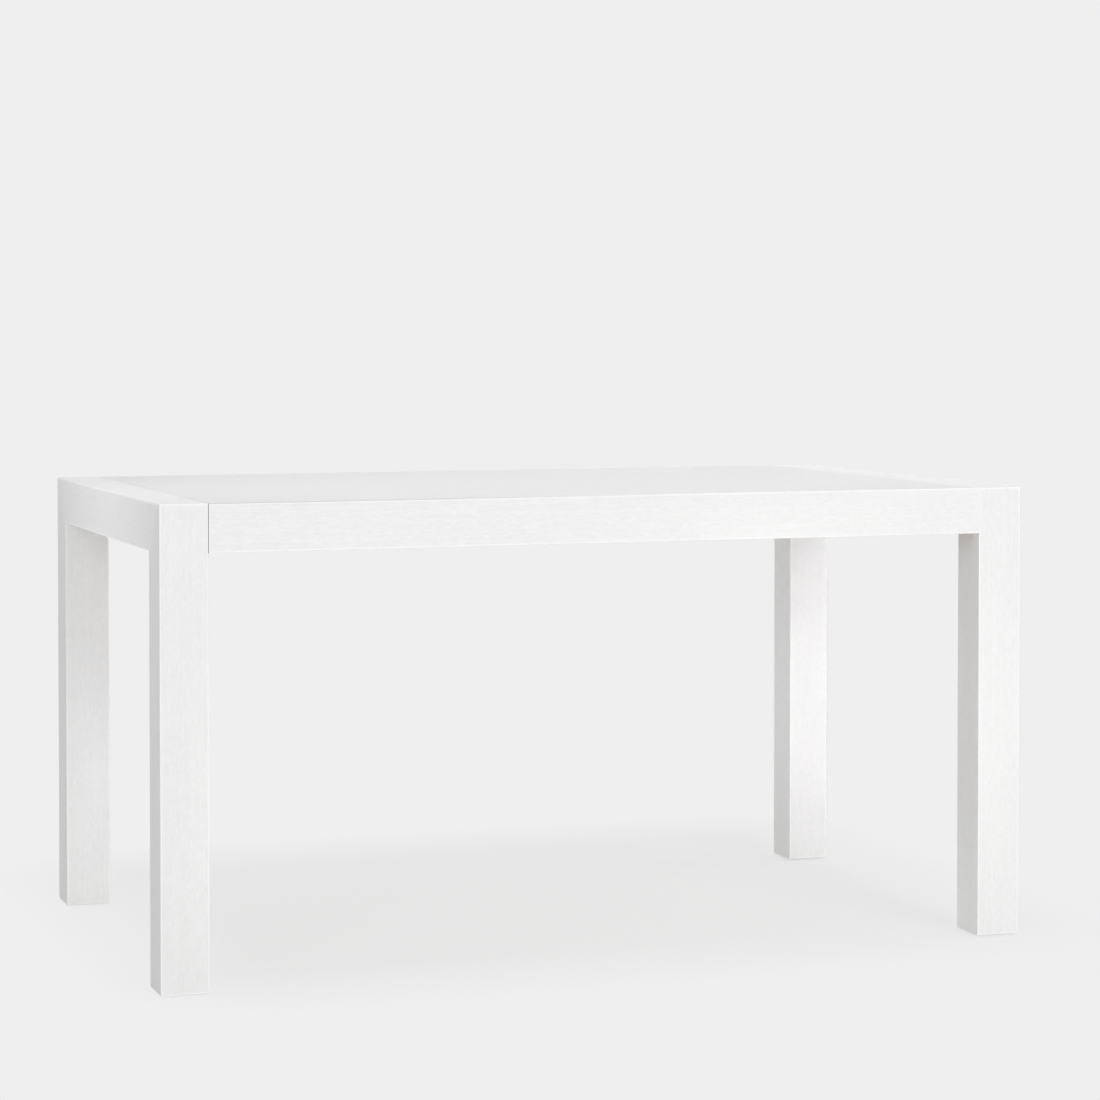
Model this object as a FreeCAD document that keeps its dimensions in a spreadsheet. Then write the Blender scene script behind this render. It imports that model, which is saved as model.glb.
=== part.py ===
import FreeCAD, Part
import math
import os
import re
import Sketcher

# Parsons dining table that comes apart for transport: two end frames, each an inverted U of two
# legs and a rail, with a centre section bolted between them. Each leg is as wide as the top is deep.
# The origin is on the floor under the middle of the top. +X runs along the table, -Y is its front
# and +Z is up. All lengths are in millimetres.

SIZES = {
    # Outline
    "table_length": 1480,
    "table_width": 856,
    "table_height": 762,
    "post_size": 77,             # square section of a leg, and so the width of an end frame
    "rail_depth": 77,            # end rails and aprons, from the top down
    "edge_radius": 1,            # every outside edge of the finished wood
    # Centre section
    "panel_thickness": 25,
    "apron_thickness": 25,
    "tongue_thickness": 4,       # loose tongue across the mitre between panel and apron
    "tongue_width": 16,
    "tongue_inset": 6,           # from the ends of the centre section
    "tongue_clearance": 0.1,
    "cross_rail_thickness": 22,
    "cross_rail_recess": 3,      # its lower edge stays this far above the apron's
    "batten_width": 70,
    "batten_thickness": 20,
    "batten_chamfer": 3,
    "block_size": 56,            # corner block, along apron and along cross rail
    "block_flat": 12,            # its two blunted corners
    "block_depth": 30,
    # Dowels
    "mitre_dowel_diameter": 10,
    "mitre_dowel_length": 50,
    "mitre_dowel_spacing": 30,
    "frame_dowel_diameter": 8,
    "frame_dowel_length": 30,
    "frame_dowel_rise": 20,      # of the one in each apron end, above the apron's lower edge
    "dowel_clearance": 0.1,      # all round
    "bore_end_gap": 1,           # past the end of whatever fills a blind bore
    # Bolts, washers and threaded inserts
    "bolts_per_end": 4,
    "bolt_margin": 133,          # outermost bolt, from the apron's inner face
    "bolt_diameter": 8,
    "bolt_tip": 6,               # past the end of the insert
    "bolt_clearance": 0.5,
    "thread_clearance": 0.1,
    "head_diameter": 13,
    "head_height": 8,
    "socket_width": 6,           # across the flats of its hexagon
    "socket_depth": 4,
    "washer_diameter": 22,
    "washer_thickness": 2,
    "insert_diameter": 12,
    "insert_length": 20,
    "insert_clearance": 0.1,
    # Wood screws
    "screw_diameter": 4,
    "screw_head_diameter": 8,
    "screw_grip": 15,            # the length in the panel or the leg
    "screw_clearance": 0.25,
    "recess_width": 4.4,         # cross recess in the head, from arm end to arm end
    "recess_arm": 1,
    "recess_depth": 1.8,
    "batten_screws_each": 4,
    "batten_screw_margin": 103,  # outermost screw, from the apron's inner face
    "block_screw_offset": 30,    # along one side of a corner block, from its corner
    "block_screw_margin": 12,    # off the other side
    # Glides under the feet
    "glide_height": 3,
    "glide_diameter": 40,
    "glide_chamfer": 1,
    "glide_screw_sink": 0.25,    # screw head above the floor
}

# Places and lengths that follow from the sizes, written as expressions.
PLACES = {
    "frame_face": "table_length / 2 - post_size",               # end frame's inner face, from the middle
    "rail_underside": "table_height - rail_depth",
    "panel_underside": "table_height - panel_thickness",
    "apron_face": "table_width / 2 - apron_thickness",          # apron's inner face, from the middle
    "apron_middle": "(table_width - apron_thickness) / 2",      # middle of its thickness
    "post_across": "(table_length - post_size) / 2",            # middle of a leg, along the table
    "post_back": "(table_width - post_size) / 2",               # middle of a leg, across the table
    "cross_rail_height": "rail_depth - panel_thickness - cross_rail_recess",
    "rail_joint_level": "panel_underside - cross_rail_height / 2",
    "first_bolt": "bolt_margin - apron_face",
    "bolt_pitch": "2 * (apron_face - bolt_margin) / (bolts_per_end - 1)",
    "first_rail_dowel": "first_bolt + bolt_pitch / 2",          # midway between two bolts
    "bolt_hole": "bolt_diameter + 2 * bolt_clearance",
    "bolt_seat": "cross_rail_thickness + washer_thickness",     # under the head, from the frame's face
    "bolt_reach": "insert_length + bolt_tip",                   # into the end frame
    "head_slope": "(screw_head_diameter - screw_diameter) / 2",
    "screw_hole": "screw_diameter + 2 * screw_clearance",
    "screw_sink": "screw_head_diameter + 2 * screw_clearance",
    "batten_pitch": "frame_face / 2",                           # three battens leave four equal bays
    "batten_underside": "panel_underside - batten_thickness",
    "first_batten_screw": "batten_screw_margin - apron_face",
    "batten_screw_pitch": "2 * (apron_face - batten_screw_margin) / (batten_screws_each - 1)",
    "block_underside": "panel_underside - block_depth",
}

LINE_START, LINE_END, CIRCLE_CENTRE = 1, 2, 3
SKETCH_ORIGIN = (-1, 1)
ALONG_X = FreeCAD.Vector(1, 0, 0)
ALONG_Y = FreeCAD.Vector(0, 1, 0)

doc = FreeCAD.newDocument("parsons_dining_table")
sheet = doc.addObject("Spreadsheet::Sheet", "Sizes")
for row, (alias, value) in enumerate(SIZES.items(), start=1):
    sheet.set(f"A{row}", alias)
    sheet.set(f"B{row}", str(value))
    sheet.setAlias(f"B{row}", alias)
doc.recompute()


# Tying things to the sheet ---------------------------------------------------------------------------

def in_sheet(expression):
    """Turn the sizes and places named in an expression into references to the sheet."""
    def reference(match):
        word = match.group(0)
        if word in PLACES:
            return f"({in_sheet(PLACES[word])})"
        return f"Sizes.{word}" if word in SIZES else word
    return re.sub(r"[a-z_]+", reference, str(expression))


def bind(item, **expressions):
    for name, expression in expressions.items():
        item.setExpression(name, in_sheet(expression))
    return item


def place(item, x="0", y="0", z="0", tilt=0):
    """Put an item at x, y, z, tilted by so many degrees about X."""
    item.Placement = FreeCAD.Placement(FreeCAD.Vector(), FreeCAD.Rotation(ALONG_X, tilt))
    for axis, expression in zip("xyz", (x, y, z)):
        item.setExpression(f"Placement.Base.{axis}", in_sheet(expression))
    return item


# Sketches and the features made from them --------------------------------------------------------------

def new_body(name):
    return doc.addObject("PartDesign::Body", name)


def origin_feature(body, role):
    return next(feature for feature in body.Origin.OriginFeatures if feature.Role == role)


def new_sketch(body, name, plane):
    sketch = body.newObject("Sketcher::SketchObject", name)
    sketch.AttachmentSupport = (origin_feature(body, plane), [""])
    sketch.MapMode = "FlatFace"
    return sketch


def fix_point(sketch, geometry, point, across, up):
    """Hold a point of a sketch at two expressions, its distances from the sketch's origin."""
    here = sketch.getPoint(geometry, point)
    for kind, start, expression in (("DistanceX", here.x, across), ("DistanceY", here.y, up)):
        constraint = Sketcher.Constraint(kind, *SKETCH_ORIGIN, geometry, point, start)
        index = sketch.addConstraint(constraint)
        sketch.setExpression(f"Constraints[{index}]", in_sheet(expression))


def outline(body, name, plane, corners):
    """A closed outline of straight lines. Each corner is a pair of expressions."""
    sketch = new_sketch(body, name, plane)
    turns = [2 * math.pi * step / len(corners) for step in range(len(corners))]
    points = [FreeCAD.Vector(2 + math.cos(turn), 2 + math.sin(turn), 0) for turn in turns]
    for here, there in zip(points, points[1:] + points[:1]):
        sketch.addGeometry(Part.LineSegment(here, there), False)
    for line in range(len(corners)):
        following = (line + 1) % len(corners)
        sketch.addConstraint(Sketcher.Constraint("Coincident", line, LINE_END, following, LINE_START))
    for line, (across, up) in enumerate(corners):
        fix_point(sketch, line, LINE_START, across, up)
    return sketch


def circle(body, name, plane, diameter, across="0", up="0"):
    sketch = new_sketch(body, name, plane)
    sketch.addGeometry(Part.Circle(FreeCAD.Vector(1, 1, 0), FreeCAD.Vector(0, 0, 1), 1), False)
    fix_point(sketch, 0, CIRCLE_CENTRE, across, up)
    index = sketch.addConstraint(Sketcher.Constraint("Diameter", 0, 2))
    sketch.setExpression(f"Constraints[{index}]", in_sheet(diameter))
    return sketch


def finish_feature(body, feature):
    body.Tip = feature
    doc.recompute()
    return feature


def pad(body, sketch, length, both_ways=False):
    feature = body.newObject("PartDesign::Pad", f"{body.Name}_pad")
    feature.Profile = sketch
    feature.SideType = "Symmetric" if both_ways else "One side"
    bind(feature, Length=length)
    return finish_feature(body, feature)


def turn(body, sketch, axis):
    """Revolve a section all the way about one of its sketch's axes."""
    feature = body.newObject("PartDesign::Revolution", f"{body.Name}_turned")
    feature.Profile = sketch
    feature.ReferenceAxis = (sketch, [axis])
    feature.Angle = 360
    return finish_feature(body, feature)


def pocket(body, sketch, depth, reverse=False):
    feature = body.newObject("PartDesign::Pocket", f"{sketch.Name}_pocket")
    feature.Profile = sketch
    feature.Reversed = reverse
    bind(feature, Length=depth)
    return finish_feature(body, feature)


def drill(body, centre, diameter, depth=None, sink=None):
    """A hole from the sketch's plane along its normal: through or to a depth, plain or countersunk."""
    feature = body.newObject("PartDesign::Hole", f"{centre.Name}_hole")
    feature.Profile = centre
    doc.recompute()
    feature.Reversed = True
    feature.DrillPoint = "Flat"
    feature.DepthType = "Dimension" if depth else "ThroughAll"
    if depth:
        bind(feature, Depth=depth)
    if sink:
        feature.HoleCutType = "Countersink"
        feature.HoleCutCountersinkAngle = 90
        bind(feature, HoleCutDiameter=sink)
    bind(feature, Diameter=diameter)
    return finish_feature(body, feature)


def repeat(body, features, axis, count, pitch):
    """Repeat features at a pitch along one of the body's axes."""
    pattern = body.newObject("PartDesign::LinearPattern", f"{features[0].Name}_row")
    pattern.Originals = features
    pattern.Direction = (origin_feature(body, axis), [""])
    pattern.Mode = "Spacing"
    bind(pattern, Offset=pitch, Occurrences=count)
    return finish_feature(body, pattern)


# Copies and booleans --------------------------------------------------------------------------------------

def mirrored(name, source, normal):
    mirror = doc.addObject("Part::Mirroring", name)
    mirror.Source = source
    mirror.Normal = normal
    return mirror


def group(name, members):
    compound = doc.addObject("Part::Compound", name)
    compound.Links = members
    return compound


def boolean(kind, name, base, tool):
    result = doc.addObject(f"Part::{kind}", name)
    result.Base = base
    result.Tool = tool
    return result


def at_both_ends(name, left):
    return group(name, [left, mirrored(f"{name}_right", left, ALONG_X)])


def at_front_and_back(name, front):
    return group(name, [front, mirrored(f"{name}_back", front, ALONG_Y)])


def at_four_corners(name, front_left):
    return at_both_ends(name, at_front_and_back(f"{name}_left", front_left))


def corner_pieces(kind, front_left):
    """The same piece at all four corners, each named by its corner."""
    back_left = mirrored(f"{kind}_back_left", front_left, ALONG_Y)
    return [front_left, back_left, mirrored(f"{kind}_front_right", front_left, ALONG_X),
            mirrored(f"{kind}_back_right", back_left, ALONG_X)]


# Dowels, and the bores that take them -----------------------------------------------------------------

def mitre_dowel_pair(name, diameter, length):
    """Two dowels square to the mitre between front left leg and end rail, side by side in X."""
    body = new_body(name)
    dowel = pad(body, circle(body, f"{name}_circle", "XZ_Plane", diameter), length, both_ways=True)
    repeat(body, [dowel], "X_Axis", 2, "mitre_dowel_spacing")
    tilt = math.degrees(math.atan2(SIZES["post_size"], SIZES["rail_depth"]))
    return place(body, x="-post_across - mitre_dowel_spacing / 2", y="-post_back",
                 z="table_height - rail_depth / 2", tilt=tilt)


def rail_dowels(name, diameter, length):
    """The two dowels between end rail and cross rail at the left end."""
    body = new_body(name)
    dowel = pad(body, circle(body, f"{name}_circle", "YZ_Plane", diameter), length, both_ways=True)
    repeat(body, [dowel], "Y_Axis", 2, "-2 * first_rail_dowel")
    return place(body, x="-frame_face", y="first_rail_dowel", z="rail_joint_level")


def apron_dowel(name, diameter, length):
    """The dowel between leg and apron at the front left."""
    body = new_body(name)
    pad(body, circle(body, f"{name}_circle", "YZ_Plane", diameter), length, both_ways=True)
    return place(body, x="-frame_face", y="-apron_middle", z="rail_underside + frame_dowel_rise")


def left_frame_dowels(name, diameter, length):
    """The dowels that line the left end frame up with the centre section."""
    in_apron = apron_dowel(f"{name}_in_apron", diameter, length)
    in_rail = rail_dowels(f"{name}_in_rail", diameter, length)
    return group(name, [in_rail, at_front_and_back(f"{name}_in_aprons", in_apron)])


def bore_for(diameter, length):
    return f"{diameter} + 2 * dowel_clearance", f"{length} + 2 * bore_end_gap"


MITRE_DOWEL = ("mitre_dowel_diameter", "mitre_dowel_length")
FRAME_DOWEL = ("frame_dowel_diameter", "frame_dowel_length")
FRAME_DOWEL_BORE = bore_for(*FRAME_DOWEL)

mitre_dowels = at_four_corners("mitre_dowels", mitre_dowel_pair("mitre_dowel_pair", *MITRE_DOWEL))
mitre_bores = at_front_and_back("mitre_bores", mitre_dowel_pair("mitre_bore_pair", *bore_for(*MITRE_DOWEL)))
frame_dowels = at_both_ends("frame_dowels", left_frame_dowels("left_dowels", *FRAME_DOWEL))
frame_dowel_bores = left_frame_dowels("left_dowel_bores", *FRAME_DOWEL_BORE)


# Bolts, washers and threaded inserts ------------------------------------------------------------------

def turned_on_bolt_axis(name, section):
    """A body at the left end's first bolt, from a section of (distance from the frame's face, radius)."""
    body = new_body(name)
    turned = turn(body, outline(body, f"{name}_section", "XY_Plane", section), "H_Axis")
    return place(body, x="-frame_face", y="first_bolt", z="rail_joint_level"), turned


def bolt_row(body, features):
    repeat(body, features, "Y_Axis", "bolts_per_end", "bolt_pitch")
    return body


def make_bolts():
    """Socket-head bolts, each with a hexagon sunk in its head."""
    top = "bolt_seat + head_height"
    bolt, turned = turned_on_bolt_axis("left_bolts", [
        ("-bolt_reach", "0"), (top, "0"), (top, "head_diameter / 2"), ("bolt_seat", "head_diameter / 2"),
        ("bolt_seat", "bolt_diameter / 2"), ("-bolt_reach", "bolt_diameter / 2")])
    corner = "socket_width / sqrt(3)"
    angles = [f"{60 * step} deg" for step in range(6)]
    corners = [(f"{corner} * cos({angle})", f"{corner} * sin({angle})") for angle in angles]
    hexagon = outline(bolt, "hexagon", "YZ_Plane", corners)
    hexagon.setExpression("AttachmentOffset.Base.z", in_sheet(top))
    return bolt_row(bolt, [turned, pocket(bolt, hexagon, "socket_depth")])


def make_washers():
    hole, rim = "bolt_hole / 2", "washer_diameter / 2"
    washer, turned = turned_on_bolt_axis("left_washers", [
        ("cross_rail_thickness", hole), ("bolt_seat", hole),
        ("bolt_seat", rim), ("cross_rail_thickness", rim)])
    return bolt_row(washer, [turned])


def make_inserts():
    thread, outside = "bolt_diameter / 2 + thread_clearance", "insert_diameter / 2"
    insert, turned = turned_on_bolt_axis("left_inserts", [
        ("-insert_length", thread), ("0", thread), ("0", outside), ("-insert_length", outside)])
    return bolt_row(insert, [turned])


def make_insert_bores():
    """Stepped bores in the end rail: the insert's, then a narrower one for the bolt's tip."""
    wide, narrow = "insert_diameter / 2 + insert_clearance", "bolt_hole / 2"
    step, bottom, mouth = "-insert_length - bore_end_gap", "-bolt_reach - bore_end_gap", "bore_end_gap"
    bore, turned = turned_on_bolt_axis("left_insert_bores", [
        (bottom, "0"), (mouth, "0"), (mouth, wide), (step, wide), (step, narrow), (bottom, narrow)])
    return bolt_row(bore, [turned])


frame_bolts = at_both_ends("frame_bolts", make_bolts())
bolt_washers = at_both_ends("bolt_washers", make_washers())
threaded_inserts = at_both_ends("threaded_inserts", make_inserts())
insert_bores = make_insert_bores()


# Wood screws, driven upwards, and the pilots that their threads bite into --------------------------------

def screw(name, through, x, y, z):
    """A countersunk screw, its head's face at z, through a piece of the given thickness."""
    body = new_body(name)
    tip, head, shank = f"{through} + screw_grip", "screw_head_diameter / 2", "screw_diameter / 2"
    section = [("0", "0"), (head, "0"), (shank, "head_slope"),
               (shank, f"{tip} - screw_diameter"), ("0", tip)]
    turned = turn(body, outline(body, f"{name}_section", "XZ_Plane", section), "V_Axis")
    arm = [("recess_width / 2", "-recess_arm / 2"), ("recess_width / 2", "recess_arm / 2"),
           ("recess_arm / 2", "recess_arm / 2")]
    corners = []
    for _ in range(4):
        corners += arm
        arm = [(f"-({up})", across) for across, up in arm]
    recess = pocket(body, outline(body, f"{name}_recess", "XY_Plane", corners), "recess_depth", reverse=True)
    return place(body, x, y, z), [turned, recess]


def pilot(name, x, y, z):
    """The blind pilot that a screw enters at z."""
    body = new_body(name)
    centre = circle(body, f"{name}_circle", "XY_Plane", "screw_diameter + 2 * thread_clearance")
    return place(body, x, y, z), [pad(body, centre, "screw_grip + bore_end_gap")]


def batten_row(made):
    """Repeat a screw or a pilot along its batten."""
    body, features = made
    repeat(body, features, "Y_Axis", "batten_screws_each", "batten_screw_pitch")
    return body


FOOT = ("-post_across", "-post_back")
BATTENS = {"left": "-batten_pitch", "centre": "0", "right": "batten_pitch"}
BLOCK_CORNER = ("-frame_face + cross_rail_thickness", "-apron_face")
BLOCK_SCREWS = {"near_apron": ("block_screw_offset", "block_screw_margin"),
                "near_rail": ("block_screw_margin", "block_screw_offset")}
BLOCK_SCREW_PLACES = {
    side: (f"{BLOCK_CORNER[0]} + {x}", f"{BLOCK_CORNER[1]} + {y}") for side, (x, y) in BLOCK_SCREWS.items()}

batten_screws = group("batten_screws", [
    batten_row(screw(f"{side}_batten_screws", "batten_thickness", x, "first_batten_screw",
                     "batten_underside"))
    for side, x in BATTENS.items()])
batten_pilots = group("batten_pilots", [
    batten_row(pilot(f"{side}_batten_pilots", x, "first_batten_screw", "panel_underside"))
    for side, x in BATTENS.items()])
block_screw_pair = group("block_screw_pair", [
    screw(f"block_screw_{side}", "block_depth", *xy, "block_underside")[0]
    for side, xy in BLOCK_SCREW_PLACES.items()])
block_pilot_pair = group("block_pilot_pair", [
    pilot(f"block_pilot_{side}", *xy, "panel_underside")[0]
    for side, xy in BLOCK_SCREW_PLACES.items()])
glide_screw, _ = screw("glide_screw", "glide_height", *FOOT, "glide_screw_sink")
foot_pilot, _ = pilot("foot_pilot", *FOOT, "glide_height")
corner_block_screws = at_four_corners("corner_block_screws", block_screw_pair)
block_pilots = at_four_corners("block_pilots", block_pilot_pair)
glide_screws = at_four_corners("glide_screws", glide_screw)
foot_pilots = at_front_and_back("foot_pilots", foot_pilot)


# Blanks: an inverted U, bored and with its edges eased, is mitred into two sides and what joins them ------

def ease_edges(body, blank):
    """Round every outside edge of an inverted U. Its two inside corners run along X, part way up."""
    bounds = blank.Shape.BoundBox
    outside = []
    for number, edge in enumerate(blank.Shape.Edges, start=1):
        runs_along_x = edge.BoundBox.XLength > edge.BoundBox.YLength + edge.BoundBox.ZLength
        part_way_up = bounds.ZMin + 1 < edge.CenterOfMass.z < bounds.ZMax - 1
        if not (runs_along_x and part_way_up):
            outside.append(f"Edge{number}")
    rounds = body.newObject("PartDesign::Fillet", f"{body.Name}_edges")
    rounds.Base = (blank, outside)
    bind(rounds, Radius="edge_radius")
    finish_feature(body, rounds)


def inverted_u(name, x, side, foot, inner_top):
    """A blank from x[0] to x[1], as wide as the table, with sides of one thickness down to the foot."""
    body = new_body(name)
    far_side = f"table_width - {side}"
    corners = [("0", foot), (side, foot), (side, inner_top), (far_side, inner_top), (far_side, foot),
               ("table_width", foot), ("table_width", "table_height"), ("0", "table_height")]
    length = f"({x[1]}) - ({x[0]})"
    ease_edges(body, pad(body, outline(body, f"{name}_outline", "YZ_Plane", corners), length))
    return place(body, x=x[0], y="-table_width / 2")


def front_wedge(name, x, side, foot, inner_top):
    """The front side of an inverted U, up to the mitre from inside corner to outside edge."""
    wedge = doc.addObject("Part::Wedge", name)
    return bind(wedge, Xmin=x[0], Xmax=x[1], X2min=x[0], X2max=x[1],
                Ymin="-table_width / 2", Ymax=f"-table_width / 2 + {side}",
                Zmin=foot, Zmax="table_height", Z2min=foot, Z2max=inner_top)


def mitre_apart(name, blank, bores, wedge, front_name, back_name, top_name):
    """Bore a blank, then part it along both mitres."""
    bored = boolean("Cut", f"{name}_bored", blank, bores)
    back_wedge = mirrored(f"{wedge.Name}_back", wedge, ALONG_Y)
    front = boolean("Common", front_name, bored, wedge)
    back = boolean("Common", back_name, bored, back_wedge)
    top = boolean("Cut", top_name, bored, group(f"{name}_sides", [wedge, back_wedge]))
    return front, back, top


# End frames -------------------------------------------------------------------------------------------

LEFT_POST = ("-table_length / 2", "-frame_face")
END_SECTION = ("post_size", "glide_height", "rail_underside")

left_bores = group("left_frame_bores", [mitre_bores, frame_dowel_bores, insert_bores, foot_pilots])
leg_front_left, leg_back_left, end_rail_left = mitre_apart(
    "left_frame", inverted_u("left_frame_blank", LEFT_POST, *END_SECTION), left_bores,
    front_wedge("leg_wedge", LEFT_POST, *END_SECTION), "leg_front_left", "leg_back_left", "end_rail_left")
leg_front_right = mirrored("leg_front_right", leg_front_left, ALONG_X)
leg_back_right = mirrored("leg_back_right", leg_back_left, ALONG_X)
end_rail_right = mirrored("end_rail_right", end_rail_left, ALONG_X)


# Centre section ---------------------------------------------------------------------------------------

def tongue(name, width, thickness, length):
    """A loose tongue, or its groove, square to the mitre between panel and front apron."""
    body = new_body(name)
    corners = [(f"{across} * ({width}) / 2", f"{up} * ({thickness}) / 2")
               for across, up in ((-1, -1), (1, -1), (1, 1), (-1, 1))]
    pad(body, outline(body, f"{name}_section", "YZ_Plane", corners), length, both_ways=True)
    tilt = math.degrees(math.atan2(SIZES["apron_thickness"], SIZES["panel_thickness"]))
    return place(body, y="-apron_middle", z="table_height - panel_thickness / 2", tilt=tilt)


def make_cross_rail():
    """The rail across the left end of the centre section, which the end frame is bolted to."""
    rail = new_body("cross_rail_left")
    length, height, middle = "2 * apron_face", "cross_rail_height", "cross_rail_height / 2"
    corners = [("0", "0"), (length, "0"), (length, height), ("0", height)]
    pad(rail, outline(rail, "cross_rail_outline", "YZ_Plane", corners), "cross_rail_thickness")
    bolt_centre = circle(rail, "bolt_centre", "YZ_Plane", "bolt_hole", "apron_face + first_bolt", middle)
    repeat(rail, [drill(rail, bolt_centre, "bolt_hole")], "Y_Axis", "bolts_per_end", "bolt_pitch")
    diameter, bore_length = FRAME_DOWEL_BORE
    dowel_centre = circle(rail, "dowel_centre", "YZ_Plane", diameter, "apron_face + first_rail_dowel", middle)
    dowel_bore = drill(rail, dowel_centre, diameter, depth=f"({bore_length}) / 2")
    repeat(rail, [dowel_bore], "Y_Axis", 2, "-2 * first_rail_dowel")
    return place(rail, x="-frame_face", y="-apron_face", z="rail_underside + cross_rail_recess")


def make_batten(side, x):
    """A batten across the underside of the panel, chamfered below, with its row of screw holes."""
    batten = new_body(f"cross_batten_{side}")
    edge, flat = "batten_width / 2", "(batten_width / 2 - batten_chamfer)"
    section = [(f"-{edge}", "batten_chamfer"), (f"-{flat}", "0"), (flat, "0"), (edge, "batten_chamfer"),
               (edge, "batten_thickness"), (f"-{edge}", "batten_thickness")]
    pad(batten, outline(batten, f"{side}_section", "XZ_Plane", section), "2 * apron_face", both_ways=True)
    centre = circle(batten, f"{side}_screw_centre", "XY_Plane", "screw_hole", up="first_batten_screw")
    hole = drill(batten, centre, "screw_hole", sink="screw_sink")
    repeat(batten, [hole], "Y_Axis", "batten_screws_each", "batten_screw_pitch")
    return place(batten, x=x, z="batten_underside")


def make_corner_block():
    """A triangular block between apron and cross rail, its two sharp ends blunted."""
    corner = new_body("corner_block_front_left")
    corners = [("0", "0"), ("block_size", "0"), ("block_size", "block_flat"), ("block_flat", "block_size"),
               ("0", "block_size")]
    pad(corner, outline(corner, "block_outline", "XY_Plane", corners), "block_depth")
    for side, (x, y) in BLOCK_SCREWS.items():
        centre = circle(corner, f"block_hole_{side}", "XY_Plane", "screw_hole", x, y)
        drill(corner, centre, "screw_hole", sink="screw_sink")
    return place(corner, *BLOCK_CORNER, "block_underside")


CENTRE_SPAN = ("-frame_face", "frame_face")
CENTRE_SECTION = ("apron_thickness", "rail_underside", "panel_underside")

tongue_front = tongue("tongue_front", "tongue_width", "tongue_thickness", "2 * (frame_face - tongue_inset)")
tongue_back = mirrored("tongue_back", tongue_front, ALONG_Y)
groove = tongue("groove", "tongue_width + 2 * tongue_clearance", "tongue_thickness + 2 * tongue_clearance",
                "2 * (frame_face + bore_end_gap)")
apron_bores = at_four_corners("apron_bores", apron_dowel("apron_bore", *FRAME_DOWEL_BORE))
centre_bores = group("centre_bores", [
    at_front_and_back("grooves", groove), apron_bores, batten_pilots, block_pilots])
apron_front, apron_back, top_panel = mitre_apart(
    "centre", inverted_u("centre_blank", CENTRE_SPAN, *CENTRE_SECTION), centre_bores,
    front_wedge("apron_wedge", CENTRE_SPAN, *CENTRE_SECTION), "apron_front", "apron_back", "top_panel")
cross_rail_left = make_cross_rail()
cross_rail_right = mirrored("cross_rail_right", cross_rail_left, ALONG_X)
cross_battens = [make_batten(side, x) for side, x in BATTENS.items()]
corner_blocks = corner_pieces("corner_block", make_corner_block())


# Glides -----------------------------------------------------------------------------------------------

def make_glide():
    """A round glide under the front left foot, countersunk from below for its screw."""
    glide = new_body("foot_glide_front_left")
    rim, hole, sink = "glide_diameter / 2", "screw_hole / 2", "screw_sink / 2 + glide_screw_sink"
    section = [(sink, "0"), (f"{rim} - glide_chamfer", "0"), (rim, "glide_chamfer"), (rim, "glide_height"),
               (hole, "glide_height"), (hole, "head_slope + glide_screw_sink")]
    turn(glide, outline(glide, "glide_section", "XZ_Plane", section), "V_Axis")
    return place(glide, *FOOT)


foot_glides = corner_pieces("foot_glide", make_glide())


# The finished pieces ----------------------------------------------------------------------------------

PIECES = [
    leg_front_left, leg_back_left, leg_front_right, leg_back_right, end_rail_left, end_rail_right,
    top_panel, apron_front, apron_back, tongue_front, tongue_back, cross_rail_left, cross_rail_right,
    *cross_battens, *corner_blocks, *foot_glides,
    mitre_dowels, frame_dowels, frame_bolts, bolt_washers, threaded_inserts,
    batten_screws, corner_block_screws, glide_screws,
]


def check_model():
    """Stop before anything is written if a feature failed or a piece isn't sound."""
    doc.recompute()
    failed = [item.Label for item in doc.Objects if {"Invalid", "Error"} & set(item.State)]
    if failed:
        raise RuntimeError(f"failed features: {failed}")
    for piece in PIECES:
        if piece.Shape.isNull() or not piece.Shape.isValid() or not piece.Shape.Solids:
            raise RuntimeError(f"{piece.Label} is not a sound solid")


def export():
    os.makedirs("parts", exist_ok=True)
    for piece in PIECES:
        piece.Shape.exportStep(os.path.join("parts", f"{piece.Label}.step"))


check_model()
export()
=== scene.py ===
"""A white parsons dining table on a pale studio floor.

The CAD pieces are shown as they are packed: this script gives each one its material and adds
the floor, the lights and the camera. Metres, in the frame's own axes: X along the table, Y to
its back, Z up.
"""

import math

import bpy
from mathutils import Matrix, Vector


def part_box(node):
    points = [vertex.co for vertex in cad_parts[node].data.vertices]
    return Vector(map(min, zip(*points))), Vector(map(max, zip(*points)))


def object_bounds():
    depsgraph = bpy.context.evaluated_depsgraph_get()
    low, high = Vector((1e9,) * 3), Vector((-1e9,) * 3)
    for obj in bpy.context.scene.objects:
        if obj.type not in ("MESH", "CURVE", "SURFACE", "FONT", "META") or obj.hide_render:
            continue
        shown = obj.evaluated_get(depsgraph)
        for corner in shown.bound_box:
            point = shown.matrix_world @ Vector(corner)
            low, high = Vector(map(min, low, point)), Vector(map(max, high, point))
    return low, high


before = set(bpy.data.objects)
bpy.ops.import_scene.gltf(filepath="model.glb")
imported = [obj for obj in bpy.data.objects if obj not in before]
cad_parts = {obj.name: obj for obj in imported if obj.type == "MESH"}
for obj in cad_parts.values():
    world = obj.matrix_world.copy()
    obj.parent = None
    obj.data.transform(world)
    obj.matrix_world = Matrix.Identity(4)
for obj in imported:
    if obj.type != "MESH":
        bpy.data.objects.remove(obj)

cad_box = [list(corner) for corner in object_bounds()]

# Camera: in front of the table's left end, almost level
CAMERA_PLACE = Vector((-1.737, -5.035, 1.0436))
CAMERA_YAW = math.radians(19.51)      # to the right of straight ahead
CAMERA_DIP = math.radians(1.62)
CAMERA_LENS = 100                     # mm
CAMERA_SHIFT = -0.13                  # of the frame's width

# Studio
BACKDROP = 0.863                      # how bright floor and background look, where 1 is white
FLOOR_RETURN = 0.82                   # share of light that the floor throws back
FLOOR_SIZE = 60.0
FLOOR_DROP = 0.0002                   # below the feet, so that the two faces aren't one
WORLD_LIGHT = 0.61
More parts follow.
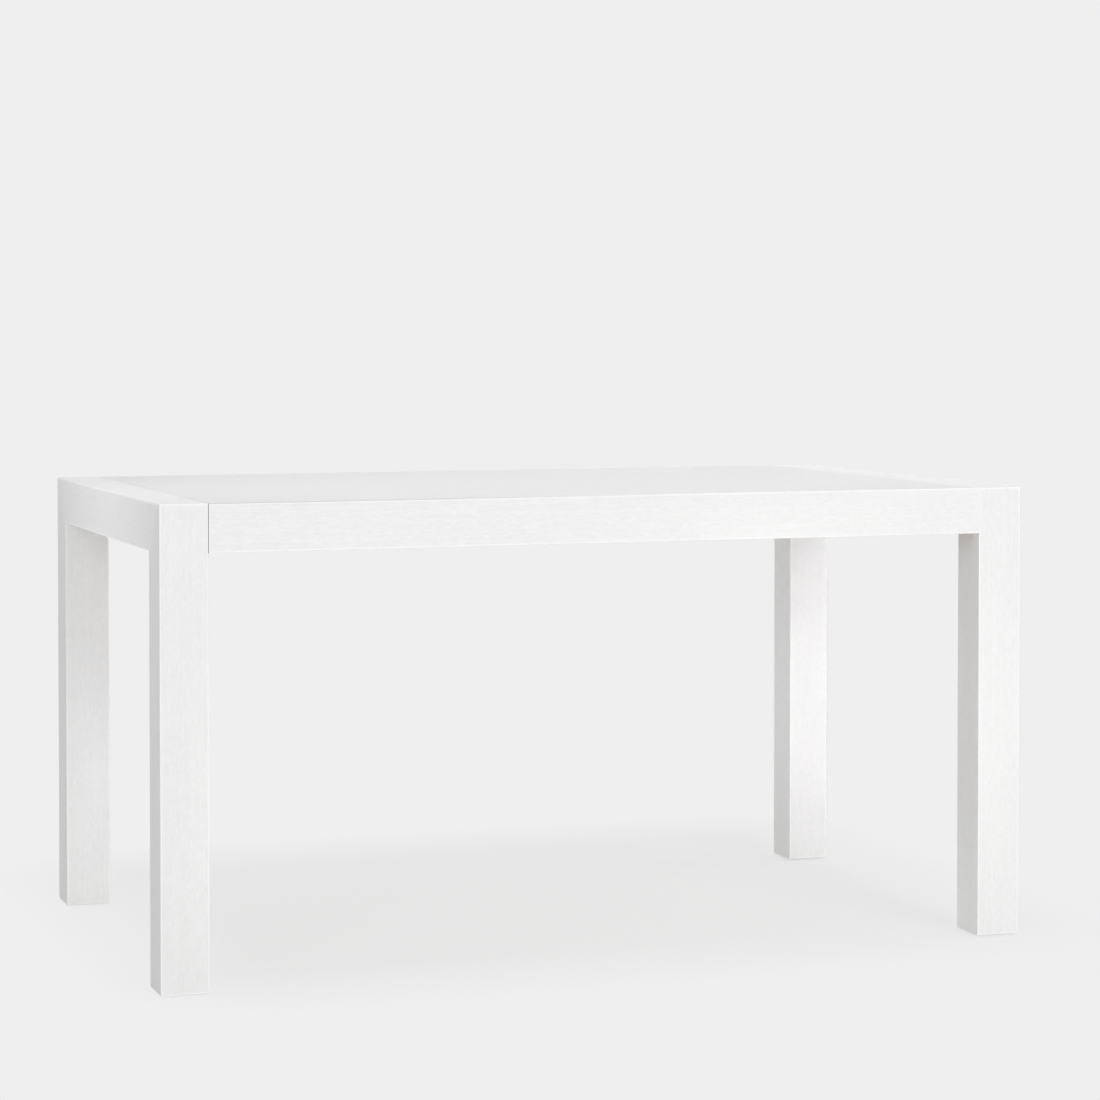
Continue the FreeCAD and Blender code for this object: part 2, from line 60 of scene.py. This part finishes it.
# In one zone of the floor, given by two corners, light and shadow are a share of its look. The
# share fades out over the reach around the zone.
FLOOR_LIT_ZONE = ((-0.52, -0.29), (0.67, 0.62))
FLOOR_LIT_SHARE = 0.30
FLOOR_LIT_REACH = 0.31
FLOOR_LIT_TONE = 0.85

# Each lamp: where it stands, how wide and high it is, and its watts. All look at the middle of
# the table.
LAMPS = {
    "front": (Vector((0.8, -5.0, 0.45)), (4.1, 0.7), 39),
    "front_high": (Vector((1.6, -4.6, 2.9)), (1.5, 1.5), 42),
    "left": (Vector((-3.2, -4.2, 3.0)), (1.8, 1.8), 30),
    "right": (Vector((5.0, 0.5, 3.2)), (1.8, 1.8), 38),
    "back_left": (Vector((-3.0, 3.0, 2.6)), (1.6, 1.6), 5),
    "back": (Vector((1.6, 4.1, 2.2)), (2.8, 1.4), 22),
}
# Small lamps with a narrow beam, two to the fronts of the back legs under the apron and one to
# the left end rail: where each stands, what it looks at, how many degrees wide its beam is, and
# its watts.
BEAMS = {
    "beam_back_right": (Vector((-0.9, -4.0, 0.23)), Vector((0.58, 0.35, 0.35)), 10.5, 0.30),
    "beam_back_left": (Vector((1.2, -3.6, 0.25)), Vector((-0.66, 0.35, 0.22)), 11, 0.113),
    "beam_rail": (Vector((-3.6, 0.6, 1.9)), Vector((-0.74, 0.0, 0.88)), 16, 0.22),
}
BEAM_SIZE = 0.4                       # as wide as high


# Shader nodes ------------------------------------------------------------------------------------

class Shader:
    """Builds one node tree. Its methods add nodes and return an output, ready to feed another."""

    def __init__(self, tree):
        self.tree = tree
        tree.nodes.clear()

    def add(self, kind, output=0, **inputs):
        node = self.tree.nodes.new(kind)
        for name, value in inputs.items():
            self.feed(node.inputs[name.replace("_", " ")], value)
        return node.outputs[output]

    def feed(self, socket, value):
        if isinstance(value, bpy.types.NodeSocket):
            self.tree.links.new(value, socket)
        else:
            socket.default_value = value

    def math(self, operation, *values):
        node = self.tree.nodes.new("ShaderNodeMath")
        node.operation = operation
        for socket, value in zip(node.inputs, values):
            self.feed(socket, value)
        return node.outputs[0]

    def vector(self, x, y, z):
        return self.add("ShaderNodeCombineXYZ", X=x, Y=y, Z=z)

    def place(self):
        """The place on the object, in the frame's axes."""
        return self.add("ShaderNodeTexCoord", output="Object")

    def axes(self):
        """The place on the object, split into "X", "Y" and "Z"."""
        parts = self.tree.nodes.new("ShaderNodeSeparateXYZ")
        self.feed(parts.inputs[0], self.place())
        return parts.outputs

    def noise(self, vector, stretch, detail, roughness=0.5):
        """Noise from 0 to 1, with so many features per metre along each axis."""
        scaled = self.tree.nodes.new("ShaderNodeVectorMath")
        scaled.operation = "MULTIPLY"
        self.feed(scaled.inputs[0], vector)
        scaled.inputs[1].default_value = stretch
        return self.add("ShaderNodeTexNoise", Vector=scaled.outputs[0], Scale=1.0,
                        Detail=detail, Roughness=roughness)

    def span(self, value, low, high, to_low=0.0, to_high=1.0):
        """A value from low to high, mapped to run from to_low to to_high and held there."""
        return self.add("ShaderNodeMapRange", Value=value, From_Min=low, From_Max=high,
                        To_Min=to_low, To_Max=to_high)

    def blend(self, share, first, second):
        """A colour between first and second."""
        node = self.tree.nodes.new("ShaderNodeMix")
        node.data_type = "RGBA"
        self.feed(node.inputs["Factor"], share)
        colours = [socket for socket in node.inputs if socket.type == "RGBA"]
        for socket, colour in zip(colours, (first, second)):
            fed_by_node = isinstance(colour, bpy.types.NodeSocket)
            self.feed(socket, colour if fed_by_node else (*colour, 1.0))
        return next(socket for socket in node.outputs if socket.type == "RGBA")

    def mix(self, share, first, second):
        """A shader between first and second."""
        node = self.tree.nodes.new("ShaderNodeMixShader")
        for socket, value in zip(node.inputs, (share, first, second)):
            self.feed(socket, value)
        return node.outputs[0]

    def bump(self, height, distance):
        return self.add("ShaderNodeBump", Height=height, Distance=distance)

    def seen_directly(self):
        """1 where a ray comes from the camera, from a mirror-like surface or through glass."""
        rays = self.tree.nodes.new("ShaderNodeLightPath").outputs
        mirrored = self.math("MAXIMUM", rays["Is Glossy Ray"], rays["Is Transmission Ray"])
        return self.math("MAXIMUM", rays["Is Camera Ray"], mirrored)

    def surface(self, shader, kind="ShaderNodeOutputMaterial"):
        """Ends the tree with this shader, and returns nothing."""
        node = self.tree.nodes.new(kind)
        self.tree.links.new(shader, node.inputs["Surface"])


def new_material(name):
    material = bpy.data.materials.new(name)
    material.use_nodes = True
    return material, Shader(material.node_tree)


# Materials ---------------------------------------------------------------------------------------

# Noises are given by their features per metre: on wood along the board and twice across it, and
# on metal and plastic along X, Y and Z
NOISE_RANGE = (0.3, 0.7)              # nearly all of a noise lies between these
GRAIN_WAVES = ((1.3, 3.0, 3.0), (1.9, 3.0, 3.0))
GRAIN_WANDER = 0.012                  # how far the waves push the grain across the board


def board_coordinates(shader, grain, shift):
    """Places on a board: first along its grain ("X", "Y" or "Z" of the frame), then twice across.

    The two across are pushed about a little along the board, so that the grain wanders as it
    does in wood.
    """
    parts = shader.axes()
    along = shader.math("ADD", parts[grain], shift)
    across = [parts[axis] for axis in "XYZ" if axis != grain]
    slow = shader.vector(along, *across)
    waves = [shader.noise(slow, wave, detail=1.0) for wave in GRAIN_WAVES]
    moved = [shader.math("ADD", side, shader.math("MULTIPLY", wave, GRAIN_WANDER))
             for side, wave in zip(across, waves)]
    return shader.vector(along, *moved)


def near_edges(shader, low, high, full, none):
    """1 within the distance full of a board's edges, and 0 beyond the distance none.

    Low and high are the board's corners.
    """
    depths = [shader.math("MINIMUM", shader.math("SUBTRACT", part, start),
                          shader.math("SUBTRACT", end, part))
              for part, start, end in zip(shader.axes(), low, high)]
    shallow = shader.math("MINIMUM", depths[0], depths[1])
    deep = shader.math("MAXIMUM", depths[0], depths[1])
    second = shader.math("MAXIMUM", shallow, shader.math("MINIMUM", deep, depths[2]))
    return shader.span(second, full, none, 1.0, 0.0)


# Painted shade in the joints: a painted shadow in the seams between end frames and centre section,
# which lie at SEAM_X either side of the middle, and a painted dark line along the long mitres,
# which lie along the top's front and back edges.
JOINT_SHADE = (0.20, 0.195, 0.19)
SEAM_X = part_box("top_panel")[1][0]
SEAM_GROOVE = (0.0003, 0.0008)        # from the seam: painted shadow up to the first, none past the second
SEAM_SHADE_SHARE = (1.0, 0.15)         # in the left seam, and in the right one, which is tighter
SEAM_CHANGE = (-0.1, 0.1)             # along X: left share up to the first, right past the second
APRON_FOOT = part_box("apron_front")[0][2]
SEAM_FADE = 0.001                     # under the apron the painted shadow ends over this distance
TABLE_SIDE = cad_box[1][1]
TABLE_TOP = cad_box[1][2]
MITRE_LINE = (0.0008, 0.0016)         # from the edge: painted shade up to the first, none past the second
MITRE_SHADE_SHARE = 0.38
MITRE_CHANGE = (-0.25, 0.15)          # along X: painted shade up to the first, none past the second
MITRE_FADE = 0.0005                   # before the seams the painted shade ends over this distance


def seam_groove_shade(shader):
    """How much painted shadow lies in the grooves where the end frames meet the centre section."""
    parts = shader.axes()
    off_centre = shader.math("ABSOLUTE", parts["X"])
    off_seam = shader.math("ABSOLUTE", shader.math("SUBTRACT", off_centre, SEAM_X))
    groove = shader.span(off_seam, *SEAM_GROOVE, 1.0, 0.0)
    share = shader.span(parts["X"], *SEAM_CHANGE, *SEAM_SHADE_SHARE)
    groove = shader.math("MULTIPLY", groove, share)
    above_foot = shader.span(parts["Z"], APRON_FOOT - SEAM_FADE, APRON_FOOT)
    return shader.math("MULTIPLY", groove, above_foot)


def mitre_line_shade(shader):
    """How much painted shade lies along the long mitres between top and aprons. On the table's
    right there is none.
    """
    parts = shader.axes()
    off_side = shader.math("SUBTRACT", TABLE_SIDE, shader.math("ABSOLUTE", parts["Y"]))
    off_top = shader.math("SUBTRACT", TABLE_TOP, parts["Z"])
    line = shader.span(shader.math("MAXIMUM", off_side, off_top), *MITRE_LINE, 1.0, 0.0)
    off_centre = shader.math("ABSOLUTE", parts["X"])
    between_seams = shader.span(off_centre, SEAM_X - MITRE_FADE, SEAM_X, 1.0, 0.0)
    line = shader.math("MULTIPLY", line, between_seams)
    share = shader.span(parts["X"], *MITRE_CHANGE, MITRE_SHADE_SHARE, 0.0)
    return shader.math("MULTIPLY", line, share)


# White lacquer. Colour, roughness and fibre tone are for its grooves and for the wood between.
WHITE_LACQUER = ((0.812, 0.812, 0.809), (0.888, 0.888, 0.885))
WHITE_ROUGHNESS = (0.58, 0.48)
WHITE_RELIEF = 0.00012
WHITE_FIBRES = (90.0, 400.0, 400.0)
WHITE_STREAKS = (4.0, 330.0, 330.0)
WHITE_BANDS = (0.8, 38.0, 38.0)
WHITE_CLOUD = (2.0, 5.0, 5.0)
WHITE_PORES = (45.0, 1500.0, 1500.0)
WHITE_PORE_RANGE = (0.60, 0.72)       # of its noise: no pore up to the first, full at the second
# Tones are shares of the way from the first colour to the second. Streaks, bands and cloud
# lighten and darken by theirs, and a pore is darker, deeper and rougher by its own values.
WHITE_FIBRE_TONE = (0.17, 0.83)
WHITE_STREAK_TONE = 0.15
WHITE_BAND_TONE = 0.035
WHITE_CLOUD_TONE = 0.05
WHITE_PORE_TONE = 0.5
WHITE_PORE_DEPTH = 0.6
WHITE_PORE_ROUGHNESS = 0.15
# Painted highlight on the eased edges, which are also made smoother there. Over the cloud's range,
# its share grows from the first to the second.
HIGHLIGHT_LACQUER = (0.935, 0.935, 0.933)
HIGHLIGHT_EDGE = (0.0015, 0.0030)        # from the edge: full up to the first, none past the second
HIGHLIGHT_CLOUD_RANGE = (0.3, 0.6)
HIGHLIGHT_SHARE = (0.6, 1.0)
EDGE_SMOOTHING = 0.12


def white_wood(name, grain, shift, low, high):
    """Oak, wire-brushed and lacquered white: the lacquer leaves the fibres as fine grooves.

    Its eased edges get a painted highlight and are a little smoother, and the joints get painted
    shade.
    """
    material, shader = new_material(name)
    board = board_coordinates(shader, grain, shift)
    fibres = shader.noise(board, WHITE_FIBRES, detail=2.0, roughness=0.6)
    streaks = shader.noise(board, WHITE_STREAKS, detail=2.0, roughness=0.6)
    bands = shader.noise(board, WHITE_BANDS, detail=2.0)
    cloud = shader.noise(board, WHITE_CLOUD, detail=2.0)
    pores = shader.span(shader.noise(board, WHITE_PORES, detail=1.0), *WHITE_PORE_RANGE)

    tone = shader.span(fibres, *NOISE_RANGE, *WHITE_FIBRE_TONE)
    for noise, strength in ((streaks, WHITE_STREAK_TONE), (bands, WHITE_BAND_TONE),
                            (cloud, WHITE_CLOUD_TONE)):
        tone = shader.math("ADD", tone, shader.span(noise, *NOISE_RANGE, -strength, strength))
    tone = shader.math("SUBTRACT", tone, shader.math("MULTIPLY", pores, WHITE_PORE_TONE))
    colour = shader.blend(tone, *WHITE_LACQUER)
    # painted highlight along the eased edges; the same mask makes them smoother
    edge_highlight = shader.math("MULTIPLY", near_edges(shader, low, high, *HIGHLIGHT_EDGE),
                         shader.span(cloud, *HIGHLIGHT_CLOUD_RANGE, *HIGHLIGHT_SHARE))
    colour = shader.blend(edge_highlight, colour, HIGHLIGHT_LACQUER)
    # painted shade along the long mitres
    colour = shader.blend(mitre_line_shade(shader), colour, JOINT_SHADE)
    # painted shadow in the seam grooves
    colour = shader.blend(seam_groove_shade(shader), colour, JOINT_SHADE)

    height = shader.math("SUBTRACT", fibres, shader.math("MULTIPLY", pores, WHITE_PORE_DEPTH))
    roughness = shader.math("ADD", shader.span(fibres, *NOISE_RANGE, *WHITE_ROUGHNESS),
                            shader.math("MULTIPLY", pores, WHITE_PORE_ROUGHNESS))
    roughness = shader.math("SUBTRACT", roughness,
                            shader.math("MULTIPLY", edge_highlight, EDGE_SMOOTHING))
    shader.surface(shader.add(
        "ShaderNodeBsdfPrincipled", Base_Color=colour, Roughness=roughness,
        Specular_IOR_Level=0.4, Anisotropic=0.35, Anisotropic_Rotation=0.25,
        Tangent=shader.vector(*[float(axis == grain) for axis in "XYZ"]),
        Normal=shader.bump(height, WHITE_RELIEF)))
    return material


# Bare timber, with a dark and a light colour. A tone is the most that rings or fibres add on the
# way from dark to light, or that pores take off.
PALE_TIMBER = ((0.46, 0.31, 0.17), (0.66, 0.49, 0.31))
PLYWOOD = ((0.36, 0.23, 0.12), (0.56, 0.39, 0.22))
TIMBER_ROUGHNESS = (0.68, 0.55)
TIMBER_RELIEF = 0.0001
TIMBER_RINGS = (1.2, 70.0, 70.0)
TIMBER_FIBRES = (8.0, 500.0, 500.0)
TIMBER_PORES = (60.0, 1600.0, 1600.0)
TIMBER_PORE_RANGE = (0.62, 0.72)
TIMBER_RING_TONE = 0.65
TIMBER_FIBRE_TONE = 0.35
TIMBER_PORE_TONE = 0.4


def bare_wood(name, grain, shift, dark, light):
    """Sanded timber with growth rings, fibres and pores."""
    material, shader = new_material(name)
    board = board_coordinates(shader, grain, shift)
    rings = shader.noise(board, TIMBER_RINGS, detail=2.0, roughness=0.6)
    fibres = shader.noise(board, TIMBER_FIBRES, detail=3.0, roughness=0.65)
    pores = shader.span(shader.noise(board, TIMBER_PORES, detail=1.0), *TIMBER_PORE_RANGE)
    tone = shader.math("ADD", shader.span(rings, *NOISE_RANGE, 0.0, TIMBER_RING_TONE),
                       shader.span(fibres, *NOISE_RANGE, 0.0, TIMBER_FIBRE_TONE))
    tone = shader.math("SUBTRACT", tone, shader.math("MULTIPLY", pores, TIMBER_PORE_TONE))
    shader.surface(shader.add(
        "ShaderNodeBsdfPrincipled", Base_Color=shader.blend(tone, dark, light),
        Roughness=shader.span(fibres, *NOISE_RANGE, *TIMBER_ROUGHNESS),
        Normal=shader.bump(shader.math("SUBTRACT", fibres, pores), TIMBER_RELIEF)))
    return material


# Metals: clean colour, worn colour and roughness. The roughness changes from speck to speck.
ZINC = ((0.62, 0.64, 0.66), (0.44, 0.46, 0.48), 0.34)
BRASS = ((0.80, 0.60, 0.27), (0.62, 0.44, 0.18), 0.28)
METAL_ROUGHER = 0.08
METAL_SMOOTHER = 0.05
METAL_RELIEF = 0.00002
METAL_SPECKS = (900.0, 900.0, 900.0)
METAL_SPECK_RANGE = (0.35, 0.65)
METAL_TURNING = (2600.0, 60.0, 60.0)


def metal(name, clean, worn, roughness):
    """A plated or turned metal with a fine uneven surface."""
    material, shader = new_material(name)
    place = shader.place()
    specks = shader.noise(place, METAL_SPECKS, detail=3.0)
    turning = shader.noise(place, METAL_TURNING, detail=1.0)
    shader.surface(shader.add(
        "ShaderNodeBsdfPrincipled", Metallic=1.0,
        Base_Color=shader.blend(shader.span(specks, *METAL_SPECK_RANGE), worn, clean),
        Roughness=shader.span(specks, *NOISE_RANGE,
                              roughness + METAL_ROUGHER, roughness - METAL_SMOOTHER),
        Normal=shader.bump(turning, METAL_RELIEF)))
    return material


# Plastic. Colour and roughness are for where it's clean and for where it's scuffed.
PLASTIC = ((0.060, 0.060, 0.062), (0.092, 0.092, 0.094))
PLASTIC_ROUGHNESS = (0.50, 0.66)
PLASTIC_RELIEF = 0.00004
PLASTIC_GRAIN = (1800.0, 1800.0, 1800.0)
PLASTIC_SCUFFS = (120.0, 700.0, 700.0)
PLASTIC_SCUFF_RANGE = (0.35, 0.7)


def moulded_plastic(name):
    """Dark plastic with a fine moulded grain and some scuffs."""
    material, shader = new_material(name)
    place = shader.place()
    grain = shader.noise(place, PLASTIC_GRAIN, detail=2.0)
    scuffs = shader.noise(place, PLASTIC_SCUFFS, detail=2.0)
    shader.surface(shader.add(
        "ShaderNodeBsdfPrincipled",
        Base_Color=shader.blend(shader.span(scuffs, *PLASTIC_SCUFF_RANGE), *PLASTIC),
        Roughness=shader.span(scuffs, *NOISE_RANGE, *PLASTIC_ROUGHNESS),
        Normal=shader.bump(grain, PLASTIC_RELIEF)))
    return material


# Which way the grain runs on each piece of wood
GRAIN = {
    "leg": "Z",
    "end_rail": "Y",
    "top_panel": "X",
    "apron": "X",
    "cross_rail": "Y",
    "cross_batten": "Y",
    "corner_block": "X",
    "mitre_dowels": "X",
    "frame_dowels": "X",
    "tongue": "X",
}
BOARD_SHIFT = 3.7                     # along the grain, from one board's pattern to the next one's


def dress(node, slot, number):
    """The material of one CAD node. Its number keeps the grain of each board its own."""
    shift = BOARD_SHIFT * number
    if slot in ("white_wood", "pale_wood", "plywood"):
        grain = next(axis for start, axis in GRAIN.items() if node.startswith(start))
    if slot == "white_wood":
        return white_wood(f"white_wood_{node}", grain, shift, *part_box(node))
    if slot == "pale_wood":
        return bare_wood(f"pale_wood_{node}", grain, shift, *PALE_TIMBER)
    if slot == "plywood":
        return bare_wood(f"plywood_{node}", grain, shift, *PLYWOOD)
    if slot == "zinc_steel":
        return metal(f"zinc_{node}", *ZINC)
    if slot == "brass":
        return metal(f"brass_{node}", *BRASS)
    return moulded_plastic(f"plastic_{node}")


for number, (node, piece) in enumerate(sorted(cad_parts.items())):
    for slot in piece.material_slots:
        slot.material = dress(node, slot.material.name.split(".")[0], number)


# Studio ------------------------------------------------------------------------------------------

def grey(tone):
    return (tone, tone, tone, 1.0)


def make_world():
    world = bpy.data.worlds.new("studio")
    world.use_nodes = True
    bpy.context.scene.world = world
    shader = Shader(world.node_tree)
    light = shader.add("ShaderNodeBackground", Color=grey(1.0), Strength=WORLD_LIGHT)
    backdrop = shader.add("ShaderNodeBackground", Color=grey(1.0), Strength=BACKDROP)
    look = shader.mix(shader.seen_directly(), light, backdrop)
    shader.surface(look, "ShaderNodeOutputWorld")


def make_floor():
    """A pale floor. Under and behind the table it takes the shadow.

    Farther out it has the backdrop's tone, and from below it can't be seen.
    """
    half = FLOOR_SIZE / 2
    mesh = bpy.data.meshes.new("floor")
    corners = [(x * half, y * half, -FLOOR_DROP) for x, y in ((-1, -1), (1, -1), (1, 1), (-1, 1))]
    mesh.from_pydata(corners, [], [(0, 1, 2, 3)])
    floor = bpy.data.objects.new("floor", mesh)
    bpy.context.scene.collection.objects.link(floor)

    material, shader = new_material("floor")
    mesh.materials.append(material)
    outside = [shader.math("MAXIMUM", shader.math("MAXIMUM", shader.math("SUBTRACT", start, part),
                                                  shader.math("SUBTRACT", part, end)), 0.0)
               for part, start, end in zip(shader.axes(), *FLOOR_LIT_ZONE)]
    squares = [shader.math("POWER", side, 2.0) for side in outside]
    distance = shader.math("SQRT", shader.math("ADD", *squares))
    share = shader.span(distance, 0.0, FLOOR_LIT_REACH, FLOOR_LIT_SHARE, 0.0)
    plain = shader.add("ShaderNodeEmission", Color=grey(1.0), Strength=BACKDROP)
    shaded = shader.add("ShaderNodeBsdfDiffuse", Color=grey(FLOOR_LIT_TONE))
    bounce = shader.add("ShaderNodeBsdfDiffuse", Color=grey(FLOOR_RETURN))
    above = shader.mix(shader.seen_directly(), bounce, shader.mix(share, plain, shaded))
    below = shader.add("ShaderNodeBsdfTransparent")
    from_below = shader.add("ShaderNodeNewGeometry", output="Backfacing")
    shader.surface(shader.mix(from_below, above, below))


def add_lamp(name, place, target, size, watts):
    lamp = bpy.data.lights.new(name, "AREA")
    lamp.shape = "RECTANGLE"
    lamp.size, lamp.size_y = size
    lamp.energy = watts
    holder = bpy.data.objects.new(name, lamp)
    bpy.context.scene.collection.objects.link(holder)
    holder.visible_camera = False
    holder.location = place
    holder.rotation_euler = (target - place).to_track_quat("-Z", "Y").to_euler()
    return lamp


def make_lamps():
    low, high = (Vector(corner) for corner in cad_box)
    middle = (low + high) / 2
    for name, (place, size, watts) in LAMPS.items():
        add_lamp(name, place, middle, size, watts)
    for name, (place, target, spread, watts) in BEAMS.items():
        lamp = add_lamp(name, place, target, (BEAM_SIZE, BEAM_SIZE), watts)
        lamp.spread = math.radians(spread)


def make_camera():
    lens = bpy.data.cameras.new("camera")
    lens.lens = CAMERA_LENS
    lens.shift_y = CAMERA_SHIFT
    camera = bpy.data.objects.new("camera", lens)
    bpy.context.scene.collection.objects.link(camera)
    camera.location = CAMERA_PLACE
    camera.rotation_euler = (math.radians(90) - CAMERA_DIP, 0, -CAMERA_YAW)
    bpy.context.scene.camera = camera


make_world()
make_floor()
make_lamps()
make_camera()
bpy.context.scene.view_settings.view_transform = "Standard"
